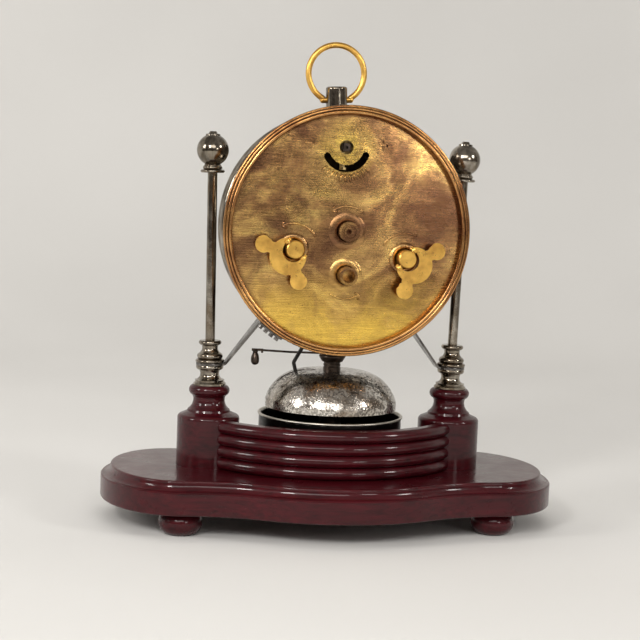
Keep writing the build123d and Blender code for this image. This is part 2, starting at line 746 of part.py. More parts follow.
CENTRE_R, THIRD_PINION_R = pitch_radii(gap(CENTRE, THIRD), CENTRE_TEETH, THIRD_LEAVES)
THIRD_R, FOURTH_PINION_R = pitch_radii(gap(THIRD, FOURTH), THIRD_TEETH, FOURTH_LEAVES)
FOURTH_R, ESCAPE_PINION_R = pitch_radii(gap(FOURTH, ESCAPE), FOURTH_TEETH, ESCAPE_LEAVES)
GREAT_R, CENTRE_PINION_R = pitch_radii(gap(TIME_KEY, CENTRE), GREAT_TEETH, CENTRE_LEAVES)
MINUTE_R, CANNON_R = pitch_radii(gap(MINUTE, CENTRE), MINUTE_TEETH, CANNON_LEAVES)
HOUR_R, MINUTE_PINION_R = pitch_radii(gap(MINUTE, CENTRE), HOUR_TEETH, MINUTE_LEAVES)
ALARM_GAP = gap(ALARM_KEY, ALARM_ESCAPE)
ALARM_GREAT_R, ALARM_PINION_R = pitch_radii(ALARM_GAP, ALARM_GREAT_TEETH, ALARM_LEAVES)

GREAT_FACES = (1.2, 2.6)
CENTRE_FACES = (-4.6, -3.6)
THIRD_FACES = (-2.6, -1.9)
FOURTH_FACES = (5.0, 5.8)


def centre_wheel():
    """Centre wheel and its pinion on a sleeve, slipping on the centre arbor when the hands are set."""
    bore = SLEEVE_R + FIT
    body = pressed(toothed(CENTRE_R, CENTRE_TEETH), *CENTRE_FACES)
    body += pressed(toothed(CENTRE_PINION_R, CENTRE_LEAVES), 0.6, 3.4)
    body += disc(2.0, CENTRE_FACES[0], 3.4)
    return body - disc(bore, CENTRE_FACES[0] - 1, 5)


def third_wheel():
    pinion = (THIRD_PINION_R, THIRD_LEAVES, (CENTRE_FACES[0] - 0.6, CENTRE_FACES[1] + 0.6))
    return arbor(THIRD, *pinion, THIRD_R, THIRD_TEETH, THIRD_FACES)


def fourth_wheel():
    pinion = (FOURTH_PINION_R, FOURTH_LEAVES, (THIRD_FACES[0] - 0.6, THIRD_FACES[1] + 0.6))
    return arbor(FOURTH, *pinion, FOURTH_R, FOURTH_TEETH, FOURTH_FACES)


ESCAPE_R = 6.6
ALARM_ESCAPE_FACES = (-1.0, -0.1)
ESCAPE_FACES = (7.0, 7.8)


def escape_wheel():
    pinion = (ESCAPE_PINION_R, ESCAPE_LEAVES, (FOURTH_FACES[0] - 0.6, FOURTH_FACES[1] + 0.6))
    return arbor(ESCAPE, *pinion, ESCAPE_R, ESCAPE_TEETH, ESCAPE_FACES)


def pallet_lever():
    """Pin-pallet lever: a fork towards the balance and two arms over the escape wheel."""
    fork = Pos(0, 2.4) * Rectangle(1.4, 4.8)
    arms = Pos(0, -0.4) * Rectangle(8.4, 1.4)
    body = pressed(fork + arms, ESCAPE_FACES[0] + 1.2, ESCAPE_FACES[1] + 1.2, PALLET, -50 - DRUM_TILT)
    body += disc(0.9, FRONT_PLATE[1] + 0.2, BACK_PLATE[0] - 0.2, PALLET)
    return body + disc(PIVOT_R, FRONT_PLATE[0], BACK_PLATE[1], PALLET)


BALANCE_FACES = (11.2, 12.6)
BALANCE_R = 9.4


def balance_wheel():
    rim = Circle(BALANCE_R) - Circle(BALANCE_R - 1.5)
    arms = Rectangle(2 * BALANCE_R - 2, 1.6) + Circle(2.0)
    body = pressed(rim + arms, *BALANCE_FACES, BALANCE, 25)
    body += disc(1.0, FRONT_PLATE[1] + 0.2, BACK_PLATE[0] - 0.2, BALANCE)
    return body + disc(PIVOT_R, FRONT_PLATE[0], BACK_PLATE[1], BALANCE)


def hairspring():
    return pressed(coil(1.3, 6.2, 6, 0.25), 13.2, 13.9, BALANCE)


def great_wheel(place, radius, teeth, bore):
    body = pressed(toothed(radius, teeth), *GREAT_FACES, place)
    body += disc(3.4, GREAT_FACES[0] - 0.6, GREAT_FACES[1] + 0.6, place)
    return body - disc(bore, GREAT_FACES[0] - 2, GREAT_FACES[1] + 2, place)


def mainspring(place):
    return pressed(coil(2.2, 16.4, 9, 0.7), 4.0, 13.4, place)


# ---------------------------------------------------------------- winding keys
ARBOR_R = 2.0
HUB_R = 4.1
HUB_REAR = 31.0
WING_THICK = 1.1
WING_Y = 28.6               # middle of the folded wing
KEY_PIN_R = 0.8


def winding_arbor(place, turn):
    """Arbor through both plates, ending behind the cover in the hub that the wing folds on."""
    body = disc(ARBOR_R, FRONT_PLATE[1] + 0.2, HUB_REAR - 6, place)
    body += disc(PIVOT_R, FRONT_PLATE[0], FRONT_PLATE[1] + 0.3, place)
    body += disc(HUB_R, 19.0, HUB_REAR, place)
    body = chamfer(body.edges().filter_by(GeomType.CIRCLE).sort_by(Axis.Y)[-1], 0.4)
    return body - key_pin(place, turn, KEY_PIN_R)


def key_pin(place, turn, radius=KEY_PIN_R):
    """Hinge pin across the hub, at right angles to the wing."""
    pin = Rot(90, 0, 0) * Cylinder(radius, 2 * (HUB_R + 2.0))
    return Pos(place[0], WING_Y, DRUM_Z + place[1]) * Rot(0, -turn, 0) * Rot(-90, 0, 0) * pin


def key_wing(place, turn):
    """Butterfly wing of a winding key, folded flat. Its tip points along the turn angle."""
    ear_r = 3.9
    ear_x, ear_y = 8.6, 11.6
    blade = Pos(4.6, 0) * Circle(8.4)
    blade += Pos(0.4, 0) * Rectangle(5.2, 2 * (HUB_R + 1.9))
    blade -= Pos(-6.2, 0) * Rectangle(8.4, 30)
    for side in (-1, 1):
        blade += Pos(ear_x, side * ear_y) * Circle(ear_r)
        neck = Rot(0, 0, side * 62) * Rectangle(12, 5.2)
        blade += Pos(ear_x - 2.2, side * ear_y / 1.7) * neck
        blade -= Pos(1.2, side * 12.4) * Circle(3.9)
    blade -= Pos(1.0, 0) * Circle(HUB_R + 0.9)
    blade -= Pos(-4, 0) * Rectangle(10, 2 * HUB_R + 0.6)
    low, high = WING_Y - WING_THICK / 2, WING_Y + WING_THICK / 2
    wing = pressed(blade, low, high, place, turn)
    barrel = Cylinder(1.5, 1.5)
    for side in (-1, 1):
        lug = Pos(0, side * (HUB_R + 1.15), 0) * Rot(90, 0, 0) * barrel
        lug = Pos(place[0], WING_Y, DRUM_Z + place[1]) * Rot(0, -turn, 0) * Rot(90, 0, 0) * lug
        wing += lug
    return wing - key_pin(place, turn, KEY_PIN_R + FIT)


TIME_TURN = -45.0           # the time key's wing points down and outward
ALARM_TURN = -142.0


# ---------------------------------------------------------------- motion work and hands
HOUR_FACES = (-11.0, -10.2)
MINUTE_FACES = (-9.6, -8.9)
BOSS_REAR = 28.0


def centre_arbor():
    """Hand-setting boss, centre arbor and cannon pinion, which carry the minute hand."""
    body = disc(SLEEVE_R, -16.0, 21.0)
    body += disc(1.45, -9.8, -8.2)
    body += disc(4.5, 20.6, BOSS_REAR)
    body -= disc(3.4, BOSS_REAR - 0.6, BOSS_REAR + 1)
    body += disc(2.1, BOSS_REAR - 0.8, BOSS_REAR - 0.1)
    body -= disc(1.2, BOSS_REAR - 3, BOSS_REAR + 1)
    return body + pressed(toothed(CANNON_R, CANNON_LEAVES), -9.8, -8.6)


def hour_wheel():
    body = pressed(toothed(HOUR_R, HOUR_TEETH), *HOUR_FACES)
    body += disc(2.3, -13.4, HOUR_FACES[1])
    return body - disc(SLEEVE_R + FIT, -20, 0)


def minute_wheel():
    body = pressed(toothed(MINUTE_R, MINUTE_TEETH), *MINUTE_FACES, MINUTE)
    pinion = toothed(MINUTE_PINION_R, MINUTE_LEAVES)
    body += pressed(pinion, HOUR_FACES[0] - 0.2, MINUTE_FACES[0], MINUTE)
    return body + disc(PIVOT_R, MINUTE_FACES[1], FRONT_PLATE[1], MINUTE)


def hand(length, width, boss, bore, front, thick, place=CENTRE, turn=0.0):
    """Spade hand pointing up before it is turned."""
    blade = Pos(0, length * 0.34) * Rectangle(width * 0.5, length * 0.68)
    blade += Pos(0, length * 0.7) * Circle(width)
    shoulder = (width * 0.7, length * 0.74)
    blade += Polygon((-shoulder[0], shoulder[1]), shoulder, (0, length), align=None)
    blade += Pos(0, -length * 0.1) * Rectangle(width * 0.6, length * 0.2)
    blade += Circle(boss)
    return pressed(blade - Circle(bore), front, front + thick, place, turn)


def hour_hand():
    return hand(25, 2.6, 3.6, 2.3, -13.4, 0.6, turn=60)


def minute_hand():
    return hand(39, 2.0, 2.8, SLEEVE_R, -15.6, 0.6, turn=-60)


def alarm_hand():
    return hand(8.6, 0.9, 1.6, 1.0, -12.55, 0.3, ALARM_SET)


def alarm_setting_arbor():
    """Arbor of the alarm hand, open at the rear as a tube for its setting knob."""
    tube_r = 4.1
    bore_r = 3.0
    body = disc(1.0, -12.6, 22.0, ALARM_SET)
    body += disc(tube_r, 19.6, 31.8, ALARM_SET)
    return body - disc(bore_r, 23.8, 33.0, ALARM_SET)


def alarm_escape_wheel():
    pinion = (ALARM_PINION_R, ALARM_LEAVES, (GREAT_FACES[0] - 0.4, GREAT_FACES[1] + 0.4))
    return arbor(ALARM_ESCAPE, *pinion, 8.6, 22, ALARM_ESCAPE_FACES)


def regulator_lever():
    """Regulator on the rear of the back plate, its tip turned up into the cover's slot."""
    ring = Circle(4.4) - Circle(2.0 + FIT)
    bar = Pos(0, -7.0) * Rectangle(2.2, 6.4)
    low = BACK_PLATE[1] + 0.3
    body = pressed(ring + bar, low, low + 0.8, BALANCE, REGULATOR_TURN)
    tip = pressed(Pos(0, -SLOT_R) * Rectangle(1.3, 1.0), low, COVER_REAR + 0.2, BALANCE, REGULATOR_TURN)
    return body + tip


def balance_screw():
    """Cup screw that carries the balance's rear pivot and the regulator, square-ended."""
    body = disc(2.0, BACK_PLATE[1], COVER_REAR - 1.6, BALANCE)
    square = Rectangle(3.0, 3.0) - Rectangle(1.2, 1.2)
    return body + pressed(square, COVER_REAR - 1.6, COVER_REAR + 0.9, BALANCE, 6)


# ---------------------------------------------------------------- assembly
def build_all():
    keep("base_plate", base_plate())
    keep("bun_feet", bun_feet())
    keep("reeded_fence", reeded_fence())
    for side, word in ((1, "left"), (-1, "right")):
        keep("pedestal_" + word, pedestal(side) - leaned(side, column_rod()))
        keep("column_rod_" + word, leaned(side, column_rod()))
        keep("finial_" + word, leaned(side, finial()))
        keep("bracket_" + word, drum_bracket(side) - Compound(bracket_screws()))
    keep("column_feet", Compound([leaned(side, column_foot()) for side in (1, -1)]))
    keep("column_collars", Compound([leaned(side, column_collar()) for side in (1, -1)]))
    keep("bracket_screws", Compound(bracket_screws()))
    for piece in (
        drum_shell, rear_rim, rim_clip, back_cover, front_bezel, dial_glass, dial,
        pendant_knob, carrying_ring,
        bell_post, bell_nut, bell_dome, bell_cup, hammer, stop_lever, stop_lever_drop,
        movement_front_plate, movement_back_plate, movement_pillars,
        centre_wheel, third_wheel, fourth_wheel, escape_wheel, pallet_lever,
        balance_wheel, hairspring, balance_screw, regulator_lever,
        centre_arbor, hour_wheel, minute_wheel, hour_hand, minute_hand,
        alarm_hand, alarm_setting_arbor, alarm_escape_wheel,
    ):
        keep(piece.__name__, piece())
    keep("time_great_wheel", great_wheel(TIME_KEY, GREAT_R, GREAT_TEETH, ARBOR_R + FIT))
    keep("alarm_great_wheel", great_wheel(ALARM_KEY, ALARM_GREAT_R, ALARM_GREAT_TEETH, ARBOR_R + FIT))
    keep("time_mainspring", mainspring(TIME_KEY))
    keep("alarm_mainspring", mainspring(ALARM_KEY))
    for word, place, turn in (("time", TIME_KEY, TIME_TURN), ("alarm", ALARM_KEY, ALARM_TURN)):
        keep(word + "_winding_arbor", winding_arbor(place, turn))
        keep(word + "_key_pin", key_pin(place, turn))
        keep(word + "_key_wing", key_wing(place, turn))


build_all()
os.makedirs("parts", exist_ok=True)
for name, solid in parts.items():
    export_step(solid, "parts/" + name + ".step")
print(len(parts), "nodes")
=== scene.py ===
"""Looks of the twin-column alarm clock: materials, fine surface work, stage, lights and camera.

Metres, in the CAD frame: +Z up, X through the two columns, the brass back faces +Y.
"""
import json
import math

import bmesh
import bpy
from mathutils import Matrix, Vector


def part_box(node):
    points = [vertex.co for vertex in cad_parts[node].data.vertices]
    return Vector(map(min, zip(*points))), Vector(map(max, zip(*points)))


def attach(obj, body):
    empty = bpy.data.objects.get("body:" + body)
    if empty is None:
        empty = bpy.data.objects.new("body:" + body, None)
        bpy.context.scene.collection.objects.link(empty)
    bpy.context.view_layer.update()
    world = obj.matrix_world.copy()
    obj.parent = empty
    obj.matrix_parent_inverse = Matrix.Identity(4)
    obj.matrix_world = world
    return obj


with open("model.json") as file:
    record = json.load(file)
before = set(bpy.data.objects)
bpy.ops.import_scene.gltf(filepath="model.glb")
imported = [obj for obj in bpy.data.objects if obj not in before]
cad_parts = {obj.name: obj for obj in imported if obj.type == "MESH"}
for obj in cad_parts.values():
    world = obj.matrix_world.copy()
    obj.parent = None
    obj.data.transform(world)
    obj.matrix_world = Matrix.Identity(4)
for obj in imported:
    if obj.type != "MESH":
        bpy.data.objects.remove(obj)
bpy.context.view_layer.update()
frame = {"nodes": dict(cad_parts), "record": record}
nodes = frame["nodes"]
MM = 0.001

# The drum's axis runs along Y through the middle of its shell.
shell_low, shell_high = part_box("drum_shell")
DRUM_X = 0.0
DRUM_Z = (shell_low[2] + shell_high[2]) / 2
cup_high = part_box("bell_cup")[1]
cover_low, cover_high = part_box("back_cover")
COVER_R = (cover_high[0] - cover_low[0]) / 2

# The regulator turns about the balance's axis.
balance_low, balance_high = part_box("balance_wheel")
REGULATOR_X = (balance_low[0] + balance_high[0]) / 2
REGULATOR_Z = (balance_low[2] + balance_high[2]) / 2

# The base's one crack runs out and back from a pedestal's foot.
pedestal_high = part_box("pedestal_left")[1]
CRACK_X = pedestal_high[0] - 1.5 * MM
CRACK_Y = pedestal_high[1] - 8 * MM
CRACK_LENGTH = 16 * MM
CRACK_SLOPE = 0.9           # it moves this far back for each step outward

# Marks on the brass cover stand on its sheet, which lies below the tips of its bosses.
COVER_FACE = cover_high[1] - 0.8 * MM


# ------------------------------------------------------------------ material building
class Look:
    """One procedural material. Its methods add nodes and return their output sockets."""

    def __init__(self, name, **constants):
        self.material = bpy.data.materials.new(name)
        self.material.use_nodes = True
        self.tree = self.material.node_tree
        self.tree.nodes.clear()
        self.shader = self.add("ShaderNodeBsdfPrincipled")
        out = self.add("ShaderNodeOutputMaterial")
        self.join(self.shader.outputs[0], out.inputs["Surface"])
        self.place = self.add("ShaderNodeTexCoord").outputs["Object"]
        for socket, value in constants.items():
            self.shader.inputs[socket.replace("_", " ")].default_value = value

    def add(self, kind, **settings):
        node = self.tree.nodes.new(kind)
        for setting, value in settings.items():
            setattr(node, setting, value)
        return node

    def join(self, source, socket):
        """Links a socket, or sets a plain number or colour on it."""
        if isinstance(source, bpy.types.NodeSocket):
            self.tree.links.new(source, socket)
        elif isinstance(source, tuple) and len(source) == 3 and len(socket.default_value) == 4:
            socket.default_value = (*source, 1.0)
        else:
            socket.default_value = source

    def stretched(self, scales, turn=(0, 0, 0)):
        node = self.add("ShaderNodeMapping")
        self.join(self.place, node.inputs["Vector"])
        node.inputs["Scale"].default_value = scales
        node.inputs["Rotation"].default_value = turn
        return node.outputs[0]

    def noise(self, scale, detail=4.0, rough=0.55, place=None, warp=0.0):
        node = self.add("ShaderNodeTexNoise")
        self.join(place or self.place, node.inputs["Vector"])
        node.inputs["Scale"].default_value = scale
        node.inputs["Detail"].default_value = detail
        node.inputs["Roughness"].default_value = rough
        node.inputs["Distortion"].default_value = warp
        return node.outputs["Fac"]

    def cells(self, scale):
        node = self.add("ShaderNodeTexVoronoi", feature="F1")
        self.join(self.place, node.inputs["Vector"])
        node.inputs["Scale"].default_value = scale
        return node.outputs["Distance"]

    def ramp(self, source, *stops):
        """Maps 0..1 to colours or greys given as (place, value) stops."""
        node = self.add("ShaderNodeValToRGB")
        self.join(source, node.inputs[0])
        band = node.color_ramp
        while len(band.elements) < len(stops):
            band.elements.new(0.5)
        for element, (spot, value) in zip(band.elements, stops):
            element.position = spot
            element.color = (*value, 1.0) if isinstance(value, tuple) else (value, value, value, 1.0)
        return node.outputs[0]

    def mix(self, amount, first, second, mode="MIX"):
        node = self.add("ShaderNodeMix", data_type="RGBA", blend_type=mode)
        self.join(amount, node.inputs["Factor"])
        self.join(first, node.inputs[6])
        self.join(second, node.inputs[7])
        return node.outputs[2]

    def math(self, operation, first, second=0.0):
        node = self.add("ShaderNodeMath", operation=operation)
        self.join(first, node.inputs[0])
        self.join(second, node.inputs[1])
        return node.outputs[0]

    def axes(self):
        node = self.add("ShaderNodeSeparateXYZ")
        self.join(self.place, node.inputs[0])
        return node.outputs

    def packed(self, x, y, z):
        node = self.add("ShaderNodeCombineXYZ")
        for socket, value in zip(node.inputs, (x, y, z)):
            self.join(value, socket)
        return node.outputs[0]

    def hidden(self, distance):
        """0 in tight corners and 1 in the open, for painted shade in corners and creases."""
        node = self.add("ShaderNodeAmbientOcclusion", samples=8)
        node.inputs["Distance"].default_value = distance
        return node.outputs["AO"]

    def bump(self, height, depth, strength=1.0, under=None):
        node = self.add("ShaderNodeBump")
        node.inputs["Strength"].default_value = strength
        node.inputs["Distance"].default_value = depth
        self.join(height, node.inputs["Height"])
        if under is not None:
            self.join(under, node.inputs["Normal"])
        return node.outputs[0]

    def finish(self, colour=None, roughness=None, normal=None, coat_normal=None):
        wanted = {
            "Base Color": colour,
            "Roughness": roughness,
            "Normal": normal,
            "Coat Normal": coat_normal,
        }
        for socket, source in wanted.items():
            if source is not None:
                self.join(source, self.shader.inputs[socket])
        return self.material


def wood_crack(look):
    """Mask of one short drying crack in the base's top, running out from a pedestal."""
    x, y, _ = look.axes()
    wave = look.math("MULTIPLY", look.math("SUBTRACT", look.noise(90, 3), 0.5), 6 * MM)
    along = look.math("DIVIDE", look.math("SUBTRACT", x, CRACK_X), CRACK_LENGTH)
    path = look.math("ADD", look.math("MULTIPLY", along, CRACK_SLOPE * CRACK_LENGTH), CRACK_Y)
    off = look.math("ABSOLUTE", look.math("SUBTRACT", y, look.math("ADD", wave, path)))
    thin = look.ramp(look.math("DIVIDE", off, MM), (0.55, 1.0), (0.95, 0.0))
    span = look.ramp(along, (0.0, 0.0), (0.03, 1.0), (0.65, 1.0), (1.0, 0.0))
    return look.math("MULTIPLY", thin, span)


def lacquered_wood():
    """Deep maroon stain with a faint grain, under thick gloss lacquer with dust and fine scratches."""
    look = Look("lacquered_wood", Coat_Weight=0.5, Coat_Roughness=0.05, Specular_IOR_Level=0.1)
    grain = look.noise(9, 6, 0.6, look.stretched((4, 60, 60)), warp=0.6)
    pores = look.noise(40, 3, 0.6, look.stretched((5, 70, 70)))
    stain = look.ramp(grain, (0.3, (0.018, 0.0014, 0.0026)), (0.7, (0.058, 0.0030, 0.0062)))
    cloudy = look.ramp(look.noise(14, 3), (0.35, 0.8), (0.7, 1.2))
    colour = look.mix(1.0, stain, cloudy, "MULTIPLY")
    dust = look.ramp(look.noise(900, 2, 0.7), (0.68, 0.0), (0.76, 1.0))
    colour = look.mix(look.math("MULTIPLY", dust, 0.05), colour, (0.4, 0.32, 0.3))
    crack = wood_crack(look)
    colour = look.mix(crack, colour, (0.002, 0.001, 0.001))
    rough = look.ramp(look.noise(60, 5, 0.7), (0.3, 0.24), (0.75, 0.42))
    orange_peel = look.noise(320, 2, 0.5)
    scratches = look.noise(30, 4, 0.7, look.stretched((6, 120, 40), turn=(0.2, 0.4, 0.5)))
    skin = look.bump(orange_peel, 0.0001, 0.3)
    skin = look.bump(scratches, 0.00005, 0.3, skin)
    skin = look.bump(crack, -0.0006, 1.0, skin)
    under = look.bump(pores, 0.0002, 0.3)
    return look.finish(colour, rough, under, skin)


def nickel():
    """Old nickel plate: warm grey, brown-yellow where it has worn thin, with painted shade darkening the
    corners.
    """
    look = Look("nickel", Metallic=1.0)
    clouds = look.noise(110, 5, 0.6, warp=0.8)
    bright = look.ramp(clouds, (0.3, (0.14, 0.115, 0.085)), (0.62, (0.42, 0.38, 0.32)))
    drawn = look.noise(70, 4, 0.6, look.stretched((5, 5, 0.35)))
    bright = look.mix(0.8, bright, look.ramp(drawn, (0.38, 0.45), (0.6, 1.1)), "MULTIPLY")
    tarnish = look.ramp(look.noise(60, 6, 0.7, warp=1.2), (0.46, 0.0), (0.66, 1.0))
    # Painted shade: the colour is darkened where the surface is occluded, in corners and creases.
    corner_shade = look.ramp(look.hidden(0.004), (0.35, 1.0), (0.85, 0.0))
    # Real tarnish patches and the painted corner shade together darken the colour and roughen it.
    tarnish_and_corner_shade = look.math("MAXIMUM", look.math("MULTIPLY", tarnish, 0.6), look.math("MULTIPLY", corner_shade, 0.85))
    colour = look.mix(tarnish_and_corner_shade, bright, (0.15, 0.10, 0.055))
    pits = look.ramp(look.cells(1400), (0.05, 1.0), (0.18, 0.0))
    pits = look.math("MULTIPLY", pits, look.ramp(look.noise(120, 3), (0.45, 0.0), (0.6, 1.0)))
    colour = look.mix(look.math("MULTIPLY", pits, 0.8), colour, (0.05, 0.035, 0.025))
    rough = look.ramp(look.noise(130, 5, 0.7), (0.3, 0.07), (0.75, 0.24))
    rough = look.math("ADD", rough, look.math("MULTIPLY", tarnish_and_corner_shade, 0.18))
    skin = look.bump(look.noise(420, 4, 0.6), 0.00012, 0.3)
    return look.finish(colour, rough, skin)


def worn_nickel():
    """Strip brackets and rim clip: nickel gone grey and dull over dark steel."""
    look = Look("worn_nickel", Metallic=1.0)
    clouds = look.noise(150, 5, 0.65, warp=0.6)
    colour = look.ramp(clouds, (0.35, (0.045, 0.04, 0.037)), (0.62, (0.24, 0.225, 0.21)))
    # Painted shade: near-black where the surface is occluded in corners.
    corner_shade = look.ramp(look.hidden(0.002), (0.4, 1.0), (0.85, 0.0))
    colour = look.mix(look.math("MULTIPLY", corner_shade, 0.7), colour, (0.02, 0.015, 0.012))
    rough = look.ramp(look.noise(200, 4), (0.3, 0.16), (0.7, 0.36))
    return look.finish(colour, rough, look.bump(look.noise(500, 4), 0.0001, 0.3))


def spotted_nickel():
    """Bell dome: bright nickel eaten by dense dark specks and brown bloom."""
    look = Look("spotted_nickel", Metallic=1.0)
    patches = look.noise(70, 5, 0.6, warp=1.0)
    bright = look.ramp(patches, (0.3, (0.36, 0.32, 0.27)), (0.65, (0.82, 0.78, 0.72)))
    region = look.ramp(look.noise(42, 4, 0.6, warp=0.7), (0.36, 0.30), (0.58, 1.0))
    fine = look.ramp(look.noise(850, 3, 0.6), (0.50, 0.0), (0.55, 1.0))
    spots = look.ramp(look.cells(620), (0.22, 1.0), (0.40, 0.0))
    specks = look.math("MULTIPLY", look.math("MAXIMUM", fine, spots), region)
    bloom = look.ramp(look.noise(55, 5, 0.6, warp=1.4), (0.48, 0.0), (0.64, 1.0))
    colour = look.mix(look.math("MULTIPLY", bloom, 0.65), bright, (0.20, 0.13, 0.075))
    colour = look.mix(look.math("MULTIPLY", specks, 0.92), colour, (0.022, 0.016, 0.012))
    rough = look.math("ADD", 0.07, look.math("MULTIPLY", specks, 0.38))
    skin = look.bump(specks, -0.00012, 0.35)
    skin = look.bump(look.noise(30, 2), 0.0006, 0.2, skin)
    return look.finish(colour, rough, skin)


def cup_steel():
    """Blackened pan whose rolled rim is worn back to bright metal."""
    look = Look("cup_steel", Metallic=1.0)
    height = look.axes()[2]
    top = cup_high[2]
    edge = look.math("DIVIDE", look.math("SUBTRACT", height, top - 2.2 * MM), 2.0 * MM)
    wander = look.math("MULTIPLY", look.math("SUBTRACT", look.noise(300, 4), 0.5), 0.9)
    ragged = look.math("ADD", edge, wander)
    worn = look.ramp(ragged, (0.45, 0.0), (0.75, 1.0))
    dark = look.ramp(look.noise(60, 5, 0.7), (0.3, (0.006, 0.005, 0.005)), (0.7, (0.024, 0.020, 0.019)))
    colour = look.mix(worn, dark, (0.52, 0.49, 0.43))
    rough = look.ramp(look.noise(150, 4, 0.7), (0.3, 0.24), (0.75, 0.5))
    skin = look.bump(look.noise(500, 4), 0.0001, 0.3)
    return look.finish(colour, rough, skin)


def dark_steel():
    """Oxidised steel wire and nuts, brown-black with rubbed highlights."""
    look = Look("dark_steel", Metallic=1.0)
    colour = look.ramp(look.noise(300, 5, 0.65), (0.3, (0.022, 0.017, 0.014)), (0.72, (0.13, 0.10, 0.08)))
    rough = look.ramp(look.noise(500, 4), (0.3, 0.25), (0.7, 0.5))
    return look.finish(colour, rough, look.bump(look.noise(900, 4), 0.00012, 0.4))


def black_iron():
    """Japanned hammer wire, near black."""
    look = Look("black_iron", Specular_IOR_Level=0.3)
    colour = look.ramp(look.noise(400, 4), (0.3, (0.004, 0.003, 0.003)), (0.7, (0.022, 0.017, 0.013)))
    rough = look.ramp(look.noise(500, 4), (0.3, 0.3), (0.7, 0.5))
    return look.finish(colour, rough, look.bump(look.noise(900, 3), 0.0001, 0.4))


def about_drum(look):
    """Radius from the drum's axis and angle round it, as two sockets."""
    x, _, z = look.axes()
    up = look.math("SUBTRACT", z, DRUM_Z)
    radius = look.math("SQRT", look.math("ADD", look.math("POWER", x, 2.0), look.math("POWER", up, 2.0)))
    return radius, look.math("ARCTAN2", up, x)


def from_regulator(look):
    """Distance across the cover from the regulator's staff."""
    x, _, z = look.axes()
    across = look.math("POWER", look.math("SUBTRACT", x, REGULATOR_X), 2.0)
    up = look.math("POWER", look.math("SUBTRACT", z, REGULATOR_Z), 2.0)
    return look.math("SQRT", look.math("ADD", across, up))


def aged_brass():
    """Thin brass cover: brushed across, golden in patches, brown and plum where tarnished, with a painted
    highlight round the regulator, a painted reflection of the lit floor along the bottom and painted shade
    in its corners.
    """
    look = Look("aged_brass", Metallic=1.0)
    radius, _ = about_drum(look)
    patina = look.ramp(
        look.noise(30, 7, 0.62, look.stretched((0.8, 1, 1.2)), warp=1.3),
        (0.36, (0.19, 0.09, 0.045)),
        (0.47, (0.38, 0.205, 0.085)),
        (0.57, (0.68, 0.42, 0.15)),
        (0.68, (1.0, 0.70, 0.22)),
    )
    patchy = look.ramp(look.noise(44, 5, 0.6, warp=1.2), (0.36, 0.45), (0.52, 1.0))
    # Painted reflection: a bright yellow band along the bottom of the cover stands in for the lit floor in
    # front of it.
    low = look.ramp(look.axes()[2], (DRUM_Z - 44 * MM, 0.95), (DRUM_Z - 18 * MM, 0.0))
    colour = look.mix(look.math("MULTIPLY", low, patchy), patina, (1.0, 0.66, 0.12))
    # Painted highlight: a golden glow round the regulator's staff.
    near = look.math("DIVIDE", from_regulator(look), 20 * MM)
    regulator_highlight = look.ramp(near, (0.2, 0.9), (0.75, 0.0))
    colour = look.mix(look.math("MULTIPLY", regulator_highlight, patchy), colour, (1.0, 0.70, 0.15))
    plum = look.ramp(look.noise(52, 6, 0.7, warp=0.9), (0.47, 0.0), (0.66, 1.0))
    # Less plum tarnish along the bottom, where the painted floor reflection lies.
    plum = look.math("MULTIPLY", plum, look.math("SUBTRACT", 0.65, look.math("MULTIPLY", low, 0.5)))
    colour = look.mix(plum, colour, (0.20, 0.10, 0.055))
    brushed = look.noise(60, 5, 0.75, look.stretched((1.2, 8, 26)))
    fine = look.noise(260, 3, 0.6, look.stretched((0.7, 6, 14)))
    streak = look.ramp(brushed, (0.3, 0.62), (0.7, 1.15))
    colour = look.mix(0.85, colour, streak, "MULTIPLY")
    spots = look.ramp(look.cells(330), (0.05, 1.0), (0.14, 0.0))
    spots = look.math("MULTIPLY", spots, look.ramp(look.noise(70, 3), (0.50, 0.0), (0.62, 1.0)))
    colour = look.mix(look.math("MULTIPLY", spots, 0.8), colour, (0.07, 0.03, 0.02))
    # Painted shade: darker brown where the surface is occluded in corners.
    corner_shade = look.ramp(look.hidden(0.003), (0.4, 1.0), (0.9, 0.0))
    colour = look.mix(look.math("MULTIPLY", corner_shade, 0.8), colour, (0.12, 0.05, 0.025))
    rough = look.ramp(look.noise(80, 5, 0.7), (0.3, 0.17), (0.72, 0.34))
    rough = look.math("ADD", rough, look.math("MULTIPLY", look.math("SUBTRACT", fine, 0.5), 0.22))
    dome = look.math("POWER", look.math("DIVIDE", radius, COVER_R), 2.0)
    skin = look.bump(dome, -0.0020)
    skin = look.bump(look.noise(20, 3, 0.5, warp=0.5), 0.0012, 0.7, skin)
    skin = look.bump(brushed, 0.00014, 0.4, skin)
    skin = look.bump(fine, 0.00006, 0.4, skin)
    return look.finish(colour, rough, skin)


def copper_rim():
    """Turned rim: copper-brown with fine rings round the axis, and painted shade darkening its grooves."""
    look = Look("copper_rim", Metallic=1.0)
    radius, angle = about_drum(look)
    rings = look.noise(1.0, 3, 0.6, look.packed(look.math("MULTIPLY", radius, 9000.0), angle, 0.0))
    clouds = look.noise(60, 5, 0.6, warp=0.9)
    clouds = look.ramp(clouds, (0.32, (0.26, 0.11, 0.045)), (0.66, (0.66, 0.36, 0.13)))
    # Painted shade: darker brown where the surface is occluded, in the grooves between the beads.
    corner_shade = look.ramp(look.hidden(0.002), (0.45, 1.0), (0.9, 0.0))
    colour = look.mix(look.math("MULTIPLY", corner_shade, 0.8), clouds, (0.10, 0.04, 0.02))
    rough = look.math("ADD", 0.14, look.math("MULTIPLY", rings, 0.16))
    return look.finish(colour, rough, look.bump(rings, 0.00004, 0.4))


